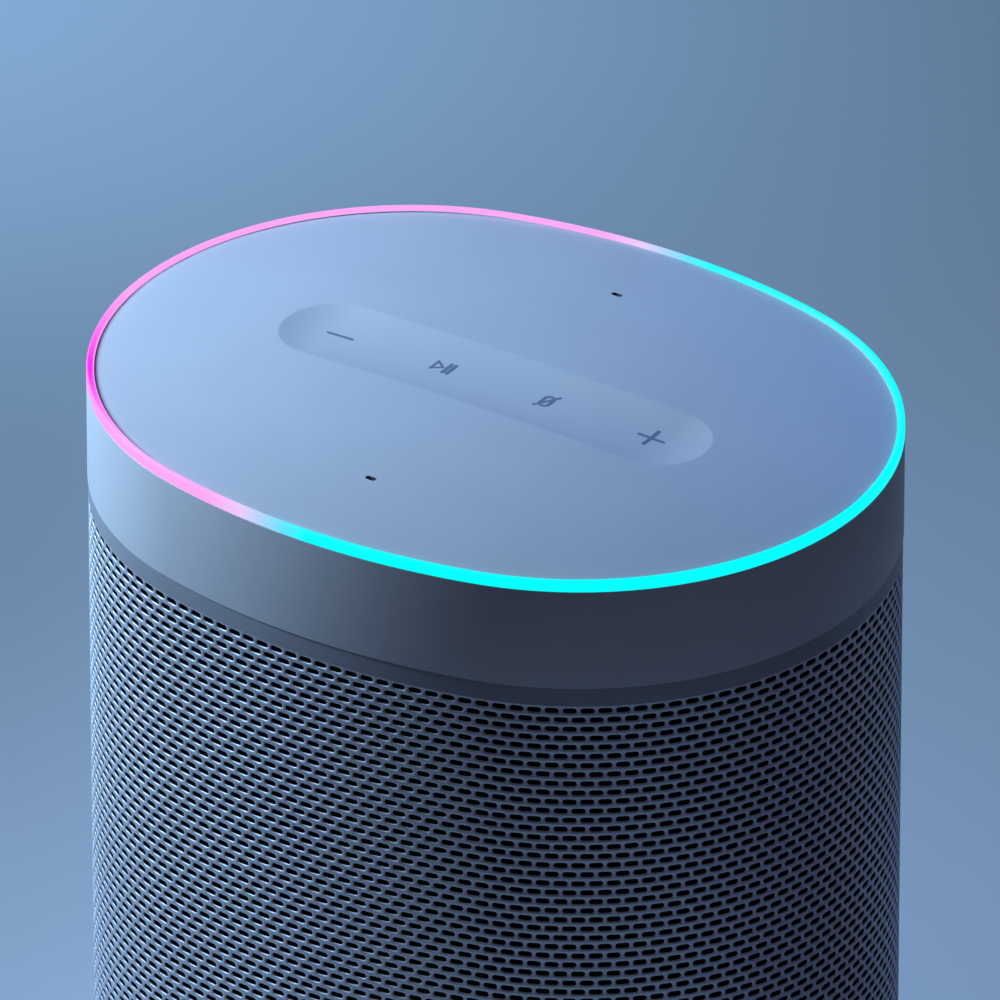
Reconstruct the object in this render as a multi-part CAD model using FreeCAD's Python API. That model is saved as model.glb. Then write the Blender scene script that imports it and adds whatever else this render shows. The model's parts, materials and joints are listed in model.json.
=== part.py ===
import FreeCAD, Part
import math
import os
from FreeCAD import Vector

# Smart speaker: an upright oval column with a perforated metal sleeve, a plastic band with a glowing
# light ring at its top, and a crowned touch cover. One full-range driver fires down on to a
# diffuser cone. Millimetres, +Z up, origin at the middle of the foot, -Y to the front, where the
# user stands, and the power inlet low at the back (+Y).

# ---- driving dimensions: outline and heights ----
HALF_LENGTH = 65.5            # half of the oval's long axis, along X
HALF_WIDTH = 52.0             # half of the oval's short axis, along Y
END_RADIUS = 50.0             # radius of the two end arcs of the oval
HEIGHT = 151.0                # foot to the crown of the top cover
CROWN = 2.5                   # rise of the top cover above its own edge
RING_STAND = 0.6              # the light ring stands this far above the cover's edge
RING_TOP = HEIGHT - CROWN + RING_STAND
RING_SIDE = 1.9               # height of the light ring's visible side
RING_WIDTH = 1.15             # width of the light ring's visible top
RING_OUTER_ROUND = 0.45
RING_INNER_ROUND = 0.3
BAND_HEIGHT = 18.9            # light ring's top to the band's lower edge
BAND_BOTTOM = RING_TOP - BAND_HEIGHT
BAND_FLANGE_HEIGHT = 2.6
BASE_BOTTOM = 1.2             # underside of the base pan above the table
BASE_TOP = 10.4               # upper edge of the visible base wall
WALL = 2.0                    # plastic walls
GAP = 0.1                     # gap between parts that only lie beside each other

# ---- top cover and touch area ----
COVER_INSET = RING_WIDTH + 0.05
COVER_UNDER = RING_TOP - 1.8
DISH_WIDTH = 16.7
DISH_DEPTH = 0.8
DISH_HALF_SPAN = 30.0         # dish centre to the centre of each rounded end
ICON_PITCH = 19.1
ICON_DEPTH = 0.3
ICON_STROKE = 0.6
ICON_HALF = 2.2               # half the length of the minus and plus strokes
ICON_HALF_HEIGHT = 1.6        # half the height of the play/pause mark
MIC_MARK_RADIUS = 1.05        # the microphone mark is a pill crossed by a slash
MIC_MARK_HALF_SPAN = 0.7
SLASH_X = 1.25                # half the slash's reach along X and Y
SLASH_Y = 1.95
MIC_OFFSET = 34.2             # centre to each microphone hole, along Y
MIC_SLOT_LENGTH = 2.0         # the holes are short slots along X
MIC_SLOT_WIDTH = 0.9
MIC_BORE_RADIUS = 1.05        # sound channel under the slot

# ---- sleeve ----
SLEEVE_STEP = 0.15            # the sleeve stands this far in from the band
SLEEVE_THICKNESS = 0.5
CLOTH_THICKNESS = 0.2
INNER_INSET = 1.2             # everything inside the sleeve starts here

# ---- boards ----
CONTROL_BOARD_Z = 142.6
BOARD_THICKNESS = 1.0
LED_COUNT = 24
LED_INSET = 3.0
SKIRT_INSET = 2.2             # light ring's inner skirt, above the LEDs
SKIRT_WIDTH = 1.6
LEDGE_WIDTH = 10.0
BOARD_SCREW_INSET = 9.6
CHASSIS_Z = 126.2
CHASSIS_THICKNESS = 3.0
MAIN_BOARD_Z = 133.2
MAIN_BOARD_THICKNESS = 1.6
MAIN_BOARD_INSET = 16.0

# ---- small screws ----
SCREW_COUNT = 6               # screws round the oval, on each of three rings
SCREW_CORE = 0.95
SCREW_CLEARANCE = 1.1
CHASSIS_SCREW_INSET = 3.2
ENCLOSURE_SCREW_INSET = 12.0

# ---- enclosure and driver (the driver faces down) ----
ENCLOSURE_INSET = 5.0
ENCLOSURE_WALL = 2.5
BAFFLE_Z = 59.4
BAFFLE_THICKNESS = 3.0
BAFFLE_HOLE = 29.2
GASKET_THICKNESS = 0.8
DRIVER_RADIUS = 31.75         # 2.5 inch full-range driver
FLANGE_Z = 57.9
COIL_RADIUS = 9.4             # mean radius of the coil former
FORMER_HALF_WALL = 0.15
GAP_RADIUS = 10.4             # bore of the top plate round the coil
POLE_RADIUS = 8.9
PLATE_RADIUS = 20.0
MAGNET_RADIUS = 22.5
ROLL_RADIUS = 3.0             # surround's half-roll
ROLL_CENTRE = 25.5
CONE_RIM = 22.6
CONE_SLOPE = 0.65
PLATE_Z = 75.2                # front of the magnet system
PLATE_THICKNESS = 4.0
MAGNET_THICKNESS = 9.0
TAG_X = 26.4                  # solder tags, beside the basket
TAG_Y = 4.0
TAG_Z = 73.0
TAG_LENGTH = 5.0
POST_X = 44.0                 # posts that join the base to the enclosure
POST_Y = 24.0
POST_RADIUS = 4.0
TIE_CORE = 1.45               # long screws through the posts
TIE_CLEARANCE = 1.7
TIE_HEAD = 2.7

# ---- base ----
FOOT_INSET = 8.0
FOOT_WIDTH = 9.0
FOOT_SEAT = 0.6
TIE_SEAT = BASE_BOTTOM + 2.6
BASE_LIP = 1.8
DIFFUSER_Z = BASE_TOP + BASE_LIP + 0.2
DIFFUSER_THICKNESS = 2.0
DIFFUSER_TOP = 44.0
JACK_Z = 6.6
JACK_BORE_RADIUS = 2.9
JACK_PIN_RADIUS = 1.0
JACK_TAIL_RADIUS = 0.7
JACK_WIDTH = 9.0
JACK_HEIGHT = 8.4
JACK_DEPTH = 12.0
JACK_BORE_DEPTH = 9.5
CABLE_RADIUS = 1.1
CABLE_BEND = 6.0
PLUG_Y = 33.5                 # power plug's place on the main board

UP = Vector(0, 0, 1)
CENTRE = Vector(0, 0, 0)


# ---- shape helpers ----
def oval_arcs(inset):
    """Four tangent arcs of the oval, as (centre, radius, start angle, sweep), counter-clockwise."""
    end_x = HALF_LENGTH - END_RADIUS
    side_radius = (end_x ** 2 + HALF_WIDTH ** 2 - END_RADIUS ** 2) / (2 * (HALF_WIDTH - END_RADIUS))
    side_y = side_radius - HALF_WIDTH
    turn = math.atan2(side_y, end_x)
    small = END_RADIUS - inset
    large = side_radius - inset
    return [
        (Vector(end_x, 0, 0), small, -turn, 2 * turn),
        (Vector(0, -side_y, 0), large, turn, math.pi - 2 * turn),
        (Vector(-end_x, 0, 0), small, math.pi - turn, 2 * turn),
        (Vector(0, side_y, 0), large, math.pi + turn, math.pi - 2 * turn),
    ]


def polar(centre, radius, angle):
    return centre + Vector(radius * math.cos(angle), radius * math.sin(angle), 0)


def oval_wire(inset, z):
    edges = []
    for centre, radius, start, sweep in oval_arcs(inset):
        points = [polar(centre, radius, start + sweep * part) for part in (0, 0.5, 1)]
        points = [point + UP * z for point in points]
        edges.append(Part.Arc(*points).toShape())
    return Part.Wire(edges)


def oval_plate(inset, low, high):
    return Part.Face(oval_wire(inset, low)).extrude(UP * (high - low))


def oval_ring(outer, inner, low, high):
    return oval_plate(outer, low, high).cut(oval_plate(inner, low - 1, high + 1))


def stations(inset, count, shift=0.0):
    """Evenly spaced points round the oval, each with the direction in degrees along the oval."""
    arcs = oval_arcs(inset)
    lengths = [radius * sweep for _, radius, _, sweep in arcs]
    found = []
    for index in range(count):
        travel = (index + shift) / count * sum(lengths)
        part = 0
        while travel > lengths[part]:
            travel -= lengths[part]
            part += 1
        centre, radius, start, _ = arcs[part]
        angle = start + travel / radius
        found.append((polar(centre, radius, angle), math.degrees(angle) + 90))
    return found


def disc(radius, low, high, x=0.0, y=0.0):
    return Part.makeCylinder(radius, high - low, Vector(x, y, low))


def tube(outer, inner, low, high, x=0.0, y=0.0):
    return disc(outer, low, high, x, y).cut(disc(inner, low - 1, high + 1, x, y))


def block(length, width, low, high, x=0.0, y=0.0, turn=0.0):
    """A box centred on x, y and turned about its own middle."""
    corner = Vector(x - length / 2, y - width / 2, low)
    shape = Part.makeBox(length, width, high - low, corner)
    shape.rotate(Vector(x, y, 0), UP, turn)
    return shape


def revolved(points):
    """A solid of revolution about Z from (radius, height) points."""
    corners = [Vector(radius, 0, height) for radius, height in points]
    face = Part.Face(Part.makePolygon(corners + corners[:1]))
    return face.revolve(CENTRE, UP, 360)


def screw(x, y, seat, length, head_up=True, shank=1.0, head=1.8, head_height=1.3):
    """A pan-head screw whose head rests on seat; head_up False turns it over."""
    direction = UP if head_up else -UP
    place = Vector(x, y, seat)
    body = Part.makeCylinder(head, head_height, place, direction)
    recess = Part.makeCylinder(head * 0.45, head_height * 0.6, place + direction * head_height * 0.5,
                               direction)
    return body.cut(recess).fuse(Part.makeCylinder(shank, length, place, -direction))


def group(shapes):
    """Identical or matching pieces that share one node."""
    return Part.makeCompound(shapes)


def mirrored_places(x, y):
    return [(x, y), (-x, y), (-x, -y), (x, -y)]


# ---- top: cover, icons, light ring, band ----
def crown_radius():
    rim = HALF_LENGTH - COVER_INSET
    return (rim ** 2 + CROWN ** 2) / (2 * CROWN)


def crown_body():
    """Slab whose top is the cover's crown: an elliptic arc across Y, turned about a distant Y axis."""
    radius = crown_radius()
    pivot = Vector(0, 0, HEIGHT - radius)
    depth = 12.0
    proportion = (HALF_WIDTH - COVER_INSET) / (HALF_LENGTH - COVER_INSET)
    turn = math.asin(HALF_WIDTH / (proportion * radius))
    ellipse = Part.Ellipse(pivot + UP * radius, pivot + Vector(0, proportion * radius, 0), pivot)
    arc = Part.Arc(ellipse, -turn, turn).toShape()
    first, last = arc.Vertexes[0].Point, arc.Vertexes[1].Point
    corners = [last, Vector(0, last.y, HEIGHT - depth), Vector(0, first.y, HEIGHT - depth), first]
    sides = [Part.makeLine(start, end) for start, end in zip(corners, corners[1:])]
    section = Part.Face(Part.Wire([arc] + sides))
    half_turn = math.degrees(math.asin((HALF_LENGTH + 1) / (radius - depth)))
    section.rotate(pivot, Vector(0, 1, 0), -half_turn)
    return section.revolve(pivot, Vector(0, 1, 0), 2 * half_turn)


def dish_tools():
    """A bent capsule that follows the crown and cuts the shallow pill-shaped dish."""
    radius = (DISH_WIDTH ** 2 / 4 + DISH_DEPTH ** 2) / (2 * DISH_DEPTH)
    crown = crown_radius()
    pivot = Vector(0, 0, HEIGHT - crown)
    axis_radius = crown - DISH_DEPTH + radius
    half_turn = math.degrees(math.asin(DISH_HALF_SPAN / axis_radius))
    middle = pivot + UP * axis_radius
    section = Part.Face(Part.Wire(Part.makeCircle(radius, middle, Vector(1, 0, 0))))
    section.rotate(pivot, Vector(0, 1, 0), -half_turn)
    tools = [section.revolve(pivot, Vector(0, 1, 0), 2 * half_turn)]
    for side in (-1, 1):
        ball = Part.makeSphere(radius, middle)
        ball.rotate(pivot, Vector(0, 1, 0), side * half_turn)
        tools.append(ball)
    return tools


def dish_floor(x):
    return HEIGHT - DISH_DEPTH - x ** 2 / (2 * crown_radius())


def stroke(x0, y0, x1, y1, low, high):
    """A straight line of an icon, one stroke wide, between two points."""
    length = math.hypot(x1 - x0, y1 - y0)
    turn = math.degrees(math.atan2(y1 - y0, x1 - x0))
    return block(length, ICON_STROKE, low, high, (x0 + x1) / 2, (y0 + y1) / 2, turn)


def minus_icon(x, low, high):
    return stroke(x - ICON_HALF, 0, x + ICON_HALF, 0, low, high)


def plus_icon(x, low, high):
    return minus_icon(x, low, high).fuse(stroke(x, -ICON_HALF, x, ICON_HALF, low, high))


def triangle_prism(left, right, half_height, low, high):
    corners = [Vector(left, half_height, low), Vector(left, -half_height, low), Vector(right, 0, low)]
    return Part.Face(Part.makePolygon(corners + corners[:1])).extrude(UP * (high - low))


def play_pause_icon(x, low, high):
    """A triangle outline with the two pause bars beside it."""
    triangle = triangle_prism(x - 1.8, x + 0.3, ICON_HALF_HEIGHT, low, high)
    hollow = triangle_prism(x - 1.4, x - 0.4, 0.8, low, high)
    bars = [stroke(x + offset, -ICON_HALF_HEIGHT, x + offset, ICON_HALF_HEIGHT, low, high)
            for offset in (0.7, 1.5)]
    return triangle.cut(hollow).fuse(bars)


def microphone_slot(y):
    """The tool that cuts one microphone slot through the cover."""
    low, high = COVER_UNDER - 1, HEIGHT + 1
    radius = MIC_SLOT_WIDTH / 2
    reach = MIC_SLOT_LENGTH / 2 - radius
    ends = [disc(radius, low, high, side * reach, y) for side in (-1, 1)]
    return block(2 * reach, MIC_SLOT_WIDTH, low, high, 0, y).fuse(ends)


def pill_prism(x, radius, half_span, low, high):
    """An upright pill shape: two discs along Y joined by a block."""
    ends = [disc(radius, low, high, x, side * half_span) for side in (-1, 1)]
    return block(2 * radius, 2 * half_span, low, high, x).fuse(ends)


def microphone_off_icon(x, low, high):
    """A microphone capsule outline crossed by a slash."""
    hollow_radius = MIC_MARK_RADIUS - ICON_STROKE
    outline = pill_prism(x, MIC_MARK_RADIUS, MIC_MARK_HALF_SPAN, low, high)
    outline = outline.cut(pill_prism(x, hollow_radius, MIC_MARK_HALF_SPAN, low, high))
    return outline.fuse(stroke(x - SLASH_X, -SLASH_Y, x + SLASH_X, SLASH_Y, low, high))


def top_cover_and_icons():
    cover = oval_plate(COVER_INSET, COVER_UNDER, HEIGHT + 1).common(crown_body())
    cover = cover.cut(dish_tools())
    for side in (-1, 1):
        cover = cover.cut(microphone_slot(side * MIC_OFFSET))
    rib = oval_ring(6.0, 7.0, COVER_UNDER - 2.5, COVER_UNDER)
    cover = cover.fuse(rib)
    makers = [minus_icon, play_pause_icon, microphone_off_icon, plus_icon]
    icons = []
    for index, maker in enumerate(makers):
        x = (index - 1.5) * ICON_PITCH
        mark = maker(x, dish_floor(x) - ICON_DEPTH, HEIGHT + 1)
        icons.append(mark.common(cover))
        cover = cover.cut(mark)
    return cover, group(icons)


def light_ring():
    """Light guide: a visible head at the rim, a web under the cover, a skirt above the LEDs."""
    head = oval_ring(0, RING_WIDTH, RING_TOP - RING_SIDE, RING_TOP)
    for inset, radius in ((0, RING_OUTER_ROUND), (RING_WIDTH, RING_INNER_ROUND)):
        side = oval_wire(inset, RING_TOP)
        rim = [edge for edge in head.Edges
               if edge.BoundBox.ZMin > RING_TOP - 0.01 and edge.distToShape(side)[0] < 0.01]
        head = head.makeFillet(radius, rim)
    web_top = COVER_UNDER - 0.05
    neck = oval_ring(0.85, RING_WIDTH, web_top - 0.7, RING_TOP - RING_SIDE)
    web = oval_ring(0.85, SKIRT_INSET + SKIRT_WIDTH, web_top - 0.7, web_top)
    skirt = oval_ring(SKIRT_INSET, SKIRT_INSET + SKIRT_WIDTH, CONTROL_BOARD_Z + 2.2, web_top - 0.7)
    return head.fuse([neck, web, skirt])


def light_shield():
    """Opaque wall that keeps the LED light out of the middle of the cover."""
    return oval_ring(4.2, 5.4, CONTROL_BOARD_Z + BOARD_THICKNESS, COVER_UNDER)


def upper_band():
    seat = COVER_UNDER - 0.75
    flange_low = CHASSIS_Z + CHASSIS_THICKNESS
    body = oval_ring(0, WALL, BAND_BOTTOM, seat)
    lip = oval_ring(0, 0.8, seat, RING_TOP - RING_SIDE)
    flange_top = flange_low + BAND_FLANGE_HEIGHT
    flange = oval_ring(INNER_INSET, 8.0, flange_low, flange_top)
    ledge = oval_ring(WALL, WALL + LEDGE_WIDTH, CONTROL_BOARD_Z - 1.2, CONTROL_BOARD_Z)
    bosses = [disc(2.2, CONTROL_BOARD_Z - 5, CONTROL_BOARD_Z, place.x, place.y)
              for place, _ in stations(BOARD_SCREW_INSET, SCREW_COUNT, 0.5)]
    band = body.fuse([lip, flange, ledge] + bosses)
    holes = [disc(SCREW_CORE, CONTROL_BOARD_Z - 6, CONTROL_BOARD_Z + 1, place.x, place.y)
             for place, _ in stations(BOARD_SCREW_INSET, SCREW_COUNT, 0.5)]
    holes += [disc(SCREW_CORE, flange_low - 1, flange_low + 1.9, place.x, place.y)
              for place, _ in stations(CHASSIS_SCREW_INSET, SCREW_COUNT)]
    holes.append(cable_hole(flange_low - 1, flange_top + 1))
    holes.append(block(2 * (CABLE_RADIUS + GAP), 8.0, flange_low - 1, flange_top + 1, 0, cable_y() - 4.0))
    return band.cut(holes)


# ---- control board under the cover ----
def control_board():
    board = oval_plate(SKIRT_INSET, CONTROL_BOARD_Z, CONTROL_BOARD_Z + BOARD_THICKNESS)
    holes = [disc(SCREW_CLEARANCE, CONTROL_BOARD_Z - 1, CONTROL_BOARD_Z + 2, place.x, place.y)
             for place, _ in stations(BOARD_SCREW_INSET, SCREW_COUNT, 0.5)]
    return board.cut(holes)


def control_board_screws():
    seat = CONTROL_BOARD_Z + BOARD_THICKNESS
    return group([screw(place.x, place.y, seat, 4.6, shank=SCREW_CORE)
                  for place, _ in stations(BOARD_SCREW_INSET, SCREW_COUNT, 0.5)])


def led_chips():
    low = CONTROL_BOARD_Z + BOARD_THICKNESS
    return group([block(2.0, 1.2, low, low + 0.9, place.x, place.y, turn)
                  for place, turn in stations(LED_INSET, LED_COUNT, 0.5)])


def microphone_capsules():
    low = CONTROL_BOARD_Z + BOARD_THICKNESS
    return group([block(3.5, 2.65, low, low + 1.0, 0, side * MIC_OFFSET) for side in (-1, 1)])


def microphone_gaskets():
    low = CONTROL_BOARD_Z + BOARD_THICKNESS + 1.0
    return group([tube(3.2, MIC_BORE_RADIUS, low, COVER_UNDER - 0.1, 0, side * MIC_OFFSET)
                  for side in (-1, 1)])


def microphone_screens():
    return group([disc(1.6, COVER_UNDER - 0.1, COVER_UNDER, 0, side * MIC_OFFSET)
                  for side in (-1, 1)])


def touch_pads():
    """Conductive foam pads that carry the touch from the cover to the board."""
    low = CONTROL_BOARD_Z + BOARD_THICKNESS
    return group([disc(5.0, low, COVER_UNDER, (index - 1.5) * ICON_PITCH) for index in range(4)])


def ribbon_cable():
    """Flat cable between the main board and the control board, with a plug at each end."""
    low = MAIN_BOARD_Z + MAIN_BOARD_THICKNESS
    strip = block(14, 0.4, low, CONTROL_BOARD_Z, 0, 22)
    foot = block(16, 3, low, low + 2.0, 0, 22)
    head = block(16, 3, CONTROL_BOARD_Z - 2.0, CONTROL_BOARD_Z, 0, 22)
    return strip.fuse([foot, head])


# ---- main board and chassis ----
def standoff_places():
    return mirrored_places(34, 20)


def main_board():
    board = oval_plate(MAIN_BOARD_INSET, MAIN_BOARD_Z, MAIN_BOARD_Z + MAIN_BOARD_THICKNESS)
    holes = [disc(SCREW_CLEARANCE, MAIN_BOARD_Z - 1, MAIN_BOARD_Z + 3, x, y) for x, y in standoff_places()]
    return board.cut(holes)


def board_standoffs():
    low = CHASSIS_Z + CHASSIS_THICKNESS
    return group([tube(2.4, SCREW_CORE, low, MAIN_BOARD_Z, x, y) for x, y in standoff_places()])


def main_board_screws():
    seat = MAIN_BOARD_Z + MAIN_BOARD_THICKNESS
    return group([screw(x, y, seat, 4.8, shank=SCREW_CORE) for x, y in standoff_places()])


def shield_can():
    low = MAIN_BOARD_Z + MAIN_BOARD_THICKNESS
    return block(28, 22, low, low + 2.6, -14, -4).cut(block(27.4, 21.4, low - 1, low + 2.3, -14, -4))


def processor_chips():
    low = MAIN_BOARD_Z + MAIN_BOARD_THICKNESS
    return group([block(12, 12, low, low + 1.2, -18, -4), block(9, 11, low, low + 1.0, -5, -4)])


def heat_sink():
    """Finned aluminium block on the amplifier chip."""
    low = MAIN_BOARD_Z + MAIN_BOARD_THICKNESS
    body = block(16, 16, low + 1.2, low + 2.6, 18, 0)
    fins = [block(1.2, 16, low + 2.6, low + 6.0, 18 + 3.6 * step, 0) for step in (-2, -1, 0, 1, 2)]
    return body.fuse(fins)


def amplifier_chip():
    low = MAIN_BOARD_Z + MAIN_BOARD_THICKNESS
    return block(8, 8, low, low + 1.2, 18, 0)


def capacitors():
    low = MAIN_BOARD_Z + MAIN_BOARD_THICKNESS
    return group([disc(3.15, low, low + 5.8, 34, y) for y in (-9, 0, 9)])


def wifi_antennas():
    """Two flexible antennas stuck to the inside of the band at its ends."""
    skin = oval_ring(WALL, WALL + 0.3, BAND_BOTTOM + 3.8, BAND_BOTTOM + 9.8)
    sides = [block(30, 34, BAND_BOTTOM, BAND_BOTTOM + 12, side * HALF_LENGTH, 0) for side in (-1, 1)]
    return group([skin.common(side) for side in sides])


def chassis_plate():
    """Carries both boards, closes the enclosure and holds the band."""
    plate = oval_plate(INNER_INSET, CHASSIS_Z, CHASSIS_Z + CHASSIS_THICKNESS)
    plate = plate.cut([disc(SCREW_CLEARANCE, CHASSIS_Z - 1, CHASSIS_Z + 4, place.x, place.y)
                       for place, _ in stations(CHASSIS_SCREW_INSET, SCREW_COUNT)])
    plate = plate.cut([disc(SCREW_CLEARANCE, CHASSIS_Z - 1, CHASSIS_Z + 4, place.x, place.y)
                       for place, _ in stations(ENCLOSURE_SCREW_INSET, SCREW_COUNT, 0.5)])
    plate = plate.cut([disc(SCREW_CORE, CHASSIS_Z + 1.6, CHASSIS_Z + 4, x, y) for x, y in standoff_places()])
    return plate.cut(cable_hole(CHASSIS_Z - 1, CHASSIS_Z + 4))


def chassis_screws():
    return group([screw(place.x, place.y, CHASSIS_Z, 4.7, head_up=False, shank=SCREW_CORE, head=1.7)
                  for place, _ in stations(CHASSIS_SCREW_INSET, SCREW_COUNT)])


def enclosure_screws():
    return group([screw(place.x, place.y, CHASSIS_Z + CHASSIS_THICKNESS, 10, shank=1.0)
                  for place, _ in stations(ENCLOSURE_SCREW_INSET, SCREW_COUNT, 0.5)])


# ---- enclosure ----
def enclosure_top():
    return CHASSIS_Z - GASKET_THICKNESS


def enclosure_gasket():
    return oval_ring(ENCLOSURE_INSET, ENCLOSURE_INSET + ENCLOSURE_WALL, enclosure_top(), CHASSIS_Z)


def enclosure_shell():
    """Airtight tub whose floor is the baffle; open at the top, where the chassis closes it."""
    shell = oval_plate(ENCLOSURE_INSET, BAFFLE_Z, enclosure_top())
    hollow = oval_plate(ENCLOSURE_INSET + ENCLOSURE_WALL, BAFFLE_Z + BAFFLE_THICKNESS, HEIGHT)
    shell = shell.cut(hollow)
    top_bosses = [disc(3.6, enclosure_top() - 14, enclosure_top(), place.x, place.y)
                  for place, _ in stations(ENCLOSURE_SCREW_INSET, SCREW_COUNT, 0.5)]
    webs = [block(3.0, 6.0, enclosure_top() - 14, enclosure_top(), place.x, place.y, turn)
            for place, turn in stations(ENCLOSURE_SCREW_INSET - 2.4, SCREW_COUNT, 0.5)]
    post_bosses = [disc(4.5, BAFFLE_Z, BAFFLE_Z + 14, x, y) for x, y in mirrored_places(POST_X, POST_Y)]
    shell = shell.fuse(top_bosses + webs + post_bosses)
    drilled = [disc(1.0, enclosure_top() - 9, enclosure_top() + 1, place.x, place.y)
               for place, _ in stations(ENCLOSURE_SCREW_INSET, SCREW_COUNT, 0.5)]
    drilled += [disc(TIE_CORE, BAFFLE_Z - 1, BAFFLE_Z + 10, x, y)
                for x, y in mirrored_places(POST_X, POST_Y)]
    drilled += [disc(1.0, BAFFLE_Z - 1, BAFFLE_Z + 2, x, y) for x, y in driver_screw_places()]
    drilled.append(disc(BAFFLE_HOLE, BAFFLE_Z - 1, BAFFLE_Z + BAFFLE_THICKNESS + 1))
    return shell.cut(drilled)


# ---- driver ----
def driver_screw_places():
    reach = DRIVER_RADIUS + 2.2
    return mirrored_places(reach * math.cos(math.pi / 4), reach * math.sin(math.pi / 4))


def driver_ears(low, high):
    return [disc(3.4, low, high, x, y) for x, y in driver_screw_places()]


def driver_gasket():
    low = BAFFLE_Z - GASKET_THICKNESS
    pad = disc(DRIVER_RADIUS, low, BAFFLE_Z).fuse(driver_ears(low, BAFFLE_Z))
    holes = [disc(SCREW_CLEARANCE, low - 1, BAFFLE_Z + 1, x, y) for x, y in driver_screw_places()]
    return pad.cut(holes + [disc(BAFFLE_HOLE, low - 1, BAFFLE_Z + 1)])


def driver_basket():
    """Pressed steel frame: flange with ears, open cone, spider ledge and rear plate."""
    rear = BAFFLE_Z - GASKET_THICKNESS
    ledge = PLATE_Z - 4.9
    flange = disc(DRIVER_RADIUS, FLANGE_Z, rear).fuse(driver_ears(FLANGE_Z, rear))
    flange = flange.fuse(tube(DRIVER_RADIUS, 30.2, FLANGE_Z - 1.1, FLANGE_Z))
    flange = flange.cut([disc(SCREW_CLEARANCE, FLANGE_Z - 2, rear + 1, x, y)
                         for x, y in driver_screw_places()])
    flange = flange.cut(disc(27.0, FLANGE_Z - 2, rear + 1))
    frame = revolved([(28.6, rear), (24.2, PLATE_Z), (10.8, PLATE_Z), (10.8, PLATE_Z - 1.0),
                      (23.2, PLATE_Z - 1.0), (23.8, ledge + 1.2), (19.2, ledge + 1.2),
                      (19.2, ledge), (24.1, ledge), (27.4, rear)])
    windows = []
    for index in range(4):
        window = block(17, 40, rear + 1.5, ledge - 1.3)
        window.rotate(CENTRE, UP, index * 45)
        windows.append(window)
    return flange.fuse(frame.cut(windows))


def driver_screws():
    return group([screw(x, y, FLANGE_Z, 3.4, head_up=False, shank=SCREW_CORE)
                  for x, y in driver_screw_places()])


def top_plate():
    return tube(PLATE_RADIUS, GAP_RADIUS, PLATE_Z, PLATE_Z + PLATE_THICKNESS)


def magnet():
    low = PLATE_Z + PLATE_THICKNESS
    return tube(MAGNET_RADIUS, GAP_RADIUS + 2.1, low, low + MAGNET_THICKNESS)


def yoke():
    """Pole piece and back plate in one, with a vent through the pole."""
    back = PLATE_Z + PLATE_THICKNESS + MAGNET_THICKNESS
    pole = disc(POLE_RADIUS, PLATE_Z, back + 3.0).fuse(disc(PLATE_RADIUS, back, back + 3.0))
    return pole.cut(disc(2.5, PLATE_Z - 1, back + 4.0))


def surround():
    """Rubber half-roll between the flange and the cone's rim."""
    outer = ROLL_RADIUS
    inner = ROLL_RADIUS - 0.5
    middle = ROLL_CENTRE
    low = FLANGE_Z - 0.5
    arcs = [Part.Arc(Vector(middle - radius, 0, low), Vector(middle, 0, low - radius),
                     Vector(middle + radius, 0, low)).toShape() for radius in (outer, inner)]
    ends = [Part.makeLine(Vector(middle + side * inner, 0, low), Vector(middle + side * outer, 0, low))
            for side in (-1, 1)]
    section = Part.Face(Part.Wire([arcs[0], ends[1], arcs[1], ends[0]]))
    roll = section.revolve(CENTRE, UP, 360)
    outer_land = tube(30.0, middle + inner, low, FLANGE_Z)
    inner_land = tube(middle - inner, 21.3, low, FLANGE_Z)
    return roll.fuse([outer_land, inner_land])


def cone_front(radius):
    """Height of the cone's front face at a radius."""
    return FLANGE_Z + (CONE_RIM - radius) * CONE_SLOPE


def cone():
    neck = COIL_RADIUS + FORMER_HALF_WALL + 0.02
    thickness = 0.5
    land = CONE_RIM - 1.2
    return revolved([(CONE_RIM, FLANGE_Z), (neck, cone_front(neck)),
                     (neck, cone_front(neck) + thickness), (land, cone_front(land) + thickness),
                     (CONE_RIM, FLANGE_Z + thickness)])


def dust_cap():
    """Thin dome over the coil, bulging to the front."""
    rim = 11.0
    rise = 3.2
    radius = (rim ** 2 + rise ** 2) / (2 * rise)
    seat = cone_front(rim) - 0.1
    centre = Vector(0, 0, seat - rise + radius)
    dome = Part.makeSphere(radius, centre).cut(Part.makeSphere(radius - 0.4, centre))
    return dome.common(disc(rim + 1, seat - rise - 1, seat))


def coil_former():
    return tube(COIL_RADIUS + FORMER_HALF_WALL, COIL_RADIUS - FORMER_HALF_WALL,
                PLATE_Z - 9.6, PLATE_Z + 6.3)


def coil_winding():
    middle = PLATE_Z + PLATE_THICKNESS / 2
    inner = COIL_RADIUS + FORMER_HALF_WALL
    return tube(inner + 0.5, inner, middle - 3.2, middle + 3.2)


def spider():
    """Corrugated cloth disc that centres the coil."""
    low = PLATE_Z - 5.3
    folds = 6
    inner = COIL_RADIUS + FORMER_HALF_WALL
    pitch = (19.0 - inner) / folds
    top = []
    for index in range(2 * folds + 1):
        swing = 0.5 if index % 2 else 0.0
        top.append((inner + index * pitch / 2, low - swing))
    thickness = 0.35
    upper = [(radius, height + thickness) for radius, height in reversed(top)]
    web = revolved(top + upper)
    return web.fuse(tube(20.6, 19.0, low, low + thickness))


def driver_terminals():
    """Tag strip on the side of the basket with two solder tags."""
    base = block(2.4, 12, TAG_Z - 1.4, TAG_Z, TAG_X, 0)
    tags = [block(0.6, 3.0, TAG_Z, TAG_Z + TAG_LENGTH, TAG_X, side * TAG_Y) for side in (-1, 1)]
    return base.fuse(tags)


def driver_leads():
    """Two wires from the tags up through the chassis."""
    return group([disc(0.7, TAG_Z + TAG_LENGTH, CHASSIS_Z, TAG_X, side * TAG_Y)
                  for side in (-1, 1)])


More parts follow.
